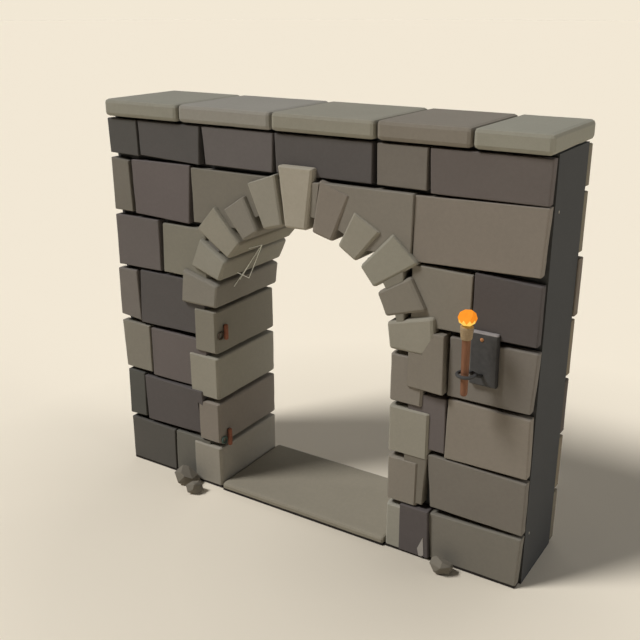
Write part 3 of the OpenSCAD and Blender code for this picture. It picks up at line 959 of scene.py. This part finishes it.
# the top bevel is painted lighter, as a painted highlight, and the right one darker, as painted shade
paint_facets(plate, lambda n: "#8f8a88" if n.z > 0.3 else "#3a3938" if n.x > 0.3 else "#484746")
rivet_foot = Vector((1.597, plate_front + 0.004, 2.006))
rivet_head = Vector((1.597, plate_front - 0.012, 2.006))
rivet_profile = [(0.0, 0.015), (0.006, 0.015), (0.011, 0.011), (0.014, 0.005)]
rivet = turned(rivet_foot, rivet_head, rivet_profile, 10)
paint_facets(rivet, lambda n: "#b07a50")
put_up("torch_plate", [plate, rivet], iron_finish, "wrought_iron", "torch_plate")

x_way, y_way, z_way = Vector((1, 0, 0)), Vector((0, 1, 0)), Vector((0, 0, 1))
ring_middle, ring_mean, ring_bar = Vector((1.567, -0.6487, 1.797)), 0.063, 0.0136
hoop_path = round_path(ring_middle, ring_mean, 20, x_way, y_way)
hoop = round_bar(hoop_path, ring_bar, iron_finish, closed=True)
paint_facets(hoop, lambda n: "#454443")
arm_bar = 0.014
arm_path = [
    Vector((1.585, -0.592, 1.792)), Vector((1.597, -0.560, 1.776)), Vector((1.604, -0.520, 1.752)),
    Vector((1.609, -0.485, 1.736)), Vector((1.610, -0.455, 1.730)),
]
arm = round_bar(arm_path, arm_bar, iron_finish)
# painted shade: the arm is darker than the hoop, though it is the same iron
paint_facets(arm, lambda n: "#2c2b29")
put_up("torch_ring", [hoop, arm], iron_finish, "wrought_iron", "torch_ring", crisp=50)

# the shaft grows a little thicker upwards, and ends just below the cloth
shaft_profile = [
    (0.0, 0.019), (0.008, 0.025), (0.020, 0.0265), (0.150, 0.0280), (0.290, 0.0298),
    (shaft_length * 0.79, 0.0317), (shaft_length * 0.82, 0.0317),
]
shaft = turned(shaft_foot, shaft_head, shaft_profile, 12)
paint(shaft, "#7c5640")
put_up("torch_shaft", [shaft], wood_finish, "torch_wood", "torch_shaft", crisp=31)

# the cloth grows wider from its foot to its head, and its edges are turned in a little
cloth_tall, cloth_radius, cloth_growth = 0.096, 0.0410, 0.0076
cloth_low, cloth_high = shaft_length - cloth_tall, shaft_length
foot_hem, both_hems = 0.004, 0.010
wrap_profile = [(cloth_low, 0.0385), (cloth_low + foot_hem, cloth_radius)]
for i in range(1, 6):
    along = cloth_low + foot_hem + (cloth_high - cloth_low - both_hems) * i / 5
    wrap_profile.append((along, cloth_radius + cloth_growth * i / 5))
wrap_profile.append((cloth_high, 0.0470))
wrap = turned(shaft_foot, shaft_head, wrap_profile, 14)
paint(wrap, "#9c8769")
# the edge of the cloth winds round it as a thin welt, half sunk
wind_turns, wind_points, wind_bar = 4, 18, 0.0026
wind_margin, wind_radius, wind_growth = 0.012, 0.0401, 0.0072
wind_path = []
for i in range(wind_turns * wind_points + 1):
    share = i / (wind_turns * wind_points)
    along = cloth_low + wind_margin + (cloth_high - cloth_low - 2 * wind_margin) * share
    wind_path.append(about(shaft_foot, lean, along, wind_radius + wind_growth * share, i / wind_points))
wind = round_bar(wind_path, wind_bar, cloth_finish, sides=5)
paint(wind, "#988365")
put_up("torch_wrap", [wrap, wind], cloth_finish, "torch_cloth", "torch_wrap", crisp=31)

fire_finish, fire_tree, fire_shader = blank_finish("torch_fire", 1.0, 0.0)
fire_shader.inputs["Base Color"].default_value = linear("#401800")
fire_shader.inputs["Emission Strength"].default_value = 1.0
glow = add(fire_tree, "ShaderNodeAttribute", attribute_name="tone").outputs["Color"]
glow_place = add(fire_tree, "ShaderNodeTexCoord").outputs["Object"]
glow = times(fire_tree, glow, speckle(fire_tree, glow_place, 25, 3, 0.94, 1.06))
fire_tree.links.new(glow, fire_shader.inputs["Emission Color"])
fire_middle, fire_wide, fire_tall = Vector((1.566, -0.675, 2.234)), 0.069, 0.0595
lick_depth, lick_scale, lick_place = 0.05, 2.1, Vector((4, 1, 7))
flame = bmesh.new()
bmesh.ops.create_icosphere(flame, subdivisions=2, radius=1.0)
for vertex in flame.verts:
    lick = 1 + lick_depth * noise.noise(vertex.co * lick_scale + lick_place)
    spot = vertex.co * lick
    vertex.co = fire_middle + Vector((spot.x * fire_wide, spot.y * fire_wide, spot.z * fire_tall))
    vertex.co.y = max(vertex.co.y, fire_middle.y - fire_wide)
# the facets are yellow underneath, and on the right they are painted darker, as shade
paint_facets(flame, lambda n: "#ffd060" if n.z < -0.35 else "#f08c28" if n.x > 0.55 else "#ff9a30")
put_up("torch_flame", [flame], fire_finish, "torch_fire", "torch_flame", crisp=1)


# ---- The gate pintles ----
# Two forged pins once carried a gate on the left jamb, and have rusted all over. Beside each,
# an iron eye lies flat against the jamb.

rust_finish = plain_finish("rusty_iron", 0.9, 60, 0.18, 0.001)
pin_radius, pin_out, pin_deep = 0.0209, -0.848, -0.3286
eye_out, eye_mean, eye_bar = -0.862, 0.031, 0.0085
# how far in the rounded ends of a pin begin, and how thick it is there
pin_ends = [(0.0, 0.010), (0.006, 0.0185), (0.014, pin_radius)]
# name, foot and head of the pin, how deep and how high the middle of its eye is, and its tone
pintles = [
    ("upper", 1.461, 1.6045, -0.388, 1.510, "#4c4136"),
    ("lower", 0.413, 0.584, -0.391, 0.4875, "#4a5a50"),
]
for name, foot, head, eye_deep, eye_high, eye_tone in pintles:
    pin_profile = pin_ends + [(head - foot - along, radius) for along, radius in pin_ends[::-1]]
    pin = turned(Vector((pin_out, pin_deep, foot)), Vector((pin_out, pin_deep, head)), pin_profile, 12)
    paint(pin, "#8a5844")
    put_up(f"{name}_pintle_pin", [pin], rust_finish, "rusty_iron", f"{name}_pintle", crisp=35)
    eye_path = round_path(Vector((eye_out, eye_deep, eye_high)), eye_mean, 16, y_way, z_way)
    eye = round_bar(eye_path, eye_bar, iron_finish, closed=True)
    paint(eye, eye_tone)
    put_up(f"{name}_pintle_eye", [eye], iron_finish, "wrought_iron", f"{name}_pintle", crisp=50)


# ---- The cobweb ----
# A few thick threads of an old cobweb hang under the left haunch of the arch. They are spun from
# one spot on the soffit to others, and to the lowest stone of the ring.

thread_radius = 0.0034
web_apex = Vector((-0.660, -0.019, 2.283))
threads = [
    (web_apex, Vector((-0.648, -0.224, 2.301))),
    (web_apex, Vector((-0.830, -0.216, 1.926))),
    (web_apex, Vector((-0.825, -0.002, 1.950))),
    (Vector((-0.683, -0.033, 2.251)), Vector((-0.818, -0.144, 1.974))),
    (Vector((-0.789, -0.214, 2.061)), Vector((-0.825, -0.002, 1.950))),
]
web_finish = plain_finish("cobweb", 0.9, 60, 0.1, 0.0002)
strands = []
for start, stop in threads:
    strand = round_bar([start.lerp(stop, i / 4) for i in range(5)], thread_radius, web_finish, sides=5)
    paint(strand, "#f4f4ea")
    strands.append(strand)
put_up("cobweb", strands, web_finish, None)


# ---- The fallen stones ----
# Three lumps broken out of the wall lie at its foot, of the same stone as the facing. Their
# sides are flat and rough, as they split.

# the corners of each lump
fallen_lumps = [
    [(-1.309, -0.605, 0.117), (-1.286, -0.557, 0.152), (-1.267, -0.526, 0.171), (-1.228, -0.5, 0.159),
     (-1.136, -0.473, 0.085), (-1.101, -0.48, 0.034), (-1.123, -0.526, 0.0), (-1.193, -0.595, 0.0),
     (-1.255, -0.623, 0.028), (-1.168, -0.626, 0.124), (-1.221, -0.612, 0.145), (-1.112, -0.583, 0.095),
     (-1.329, -0.516, 0.054), (-1.303, -0.468, 0.087), (-1.224, -0.436, 0.035), (-1.216, -0.468, 0.0),
     (-1.296, -0.527, 0.0)],
    [(-1.107, -0.683, 0.081), (-1.071, -0.63, 0.108), (-1.023, -0.588, 0.107), (-0.992, -0.584, 0.078),
     (-0.976, -0.596, 0.043), (-0.977, -0.616, 0.018), (-1.006, -0.66, 0.0), (-1.075, -0.7, 0.022),
     (-1.011, -0.677, 0.109), (-1.015, -0.694, 0.066), (-1.116, -0.617, 0.036), (-1.065, -0.56, 0.052),
     (-1.037, -0.565, 0.013), (-1.055, -0.604, 0.0)],
    [(1.318, -0.563, 0.08), (1.326, -0.532, 0.116), (1.354, -0.511, 0.128), (1.418, -0.496, 0.111),
     (1.481, -0.488, 0.087), (1.499, -0.496, 0.066), (1.48, -0.54, 0.019), (1.398, -0.58, 0.012),
     (1.369, -0.585, 0.023), (1.43, -0.571, 0.131), (1.433, -0.61, 0.093), (1.493, -0.552, 0.093),
     (1.326, -0.491, 0.03), (1.348, -0.459, 0.06), (1.425, -0.445, 0.035), (1.425, -0.476, 0.0),
     (1.357, -0.504, 0.0)],
]
blocks = []
for spots in fallen_lumps:
    lump = bmesh.new()
    for spot in spots:
        lump.verts.new(spot)
    bmesh.ops.convex_hull(lump, input=lump.verts)
    bmesh.ops.delete(lump, geom=[v for v in lump.verts if not v.link_faces], context="VERTS")
    bmesh.ops.recalc_face_normals(lump, faces=lump.faces)
    lump.verts.layers.float.new("wear_and_highlight")
    paint(lump, "#767065")
    blocks.append(lump)
put_up("fallen_stones", blocks, stone_finish("broken_stone"), "facing_stone", "fallen_stones")
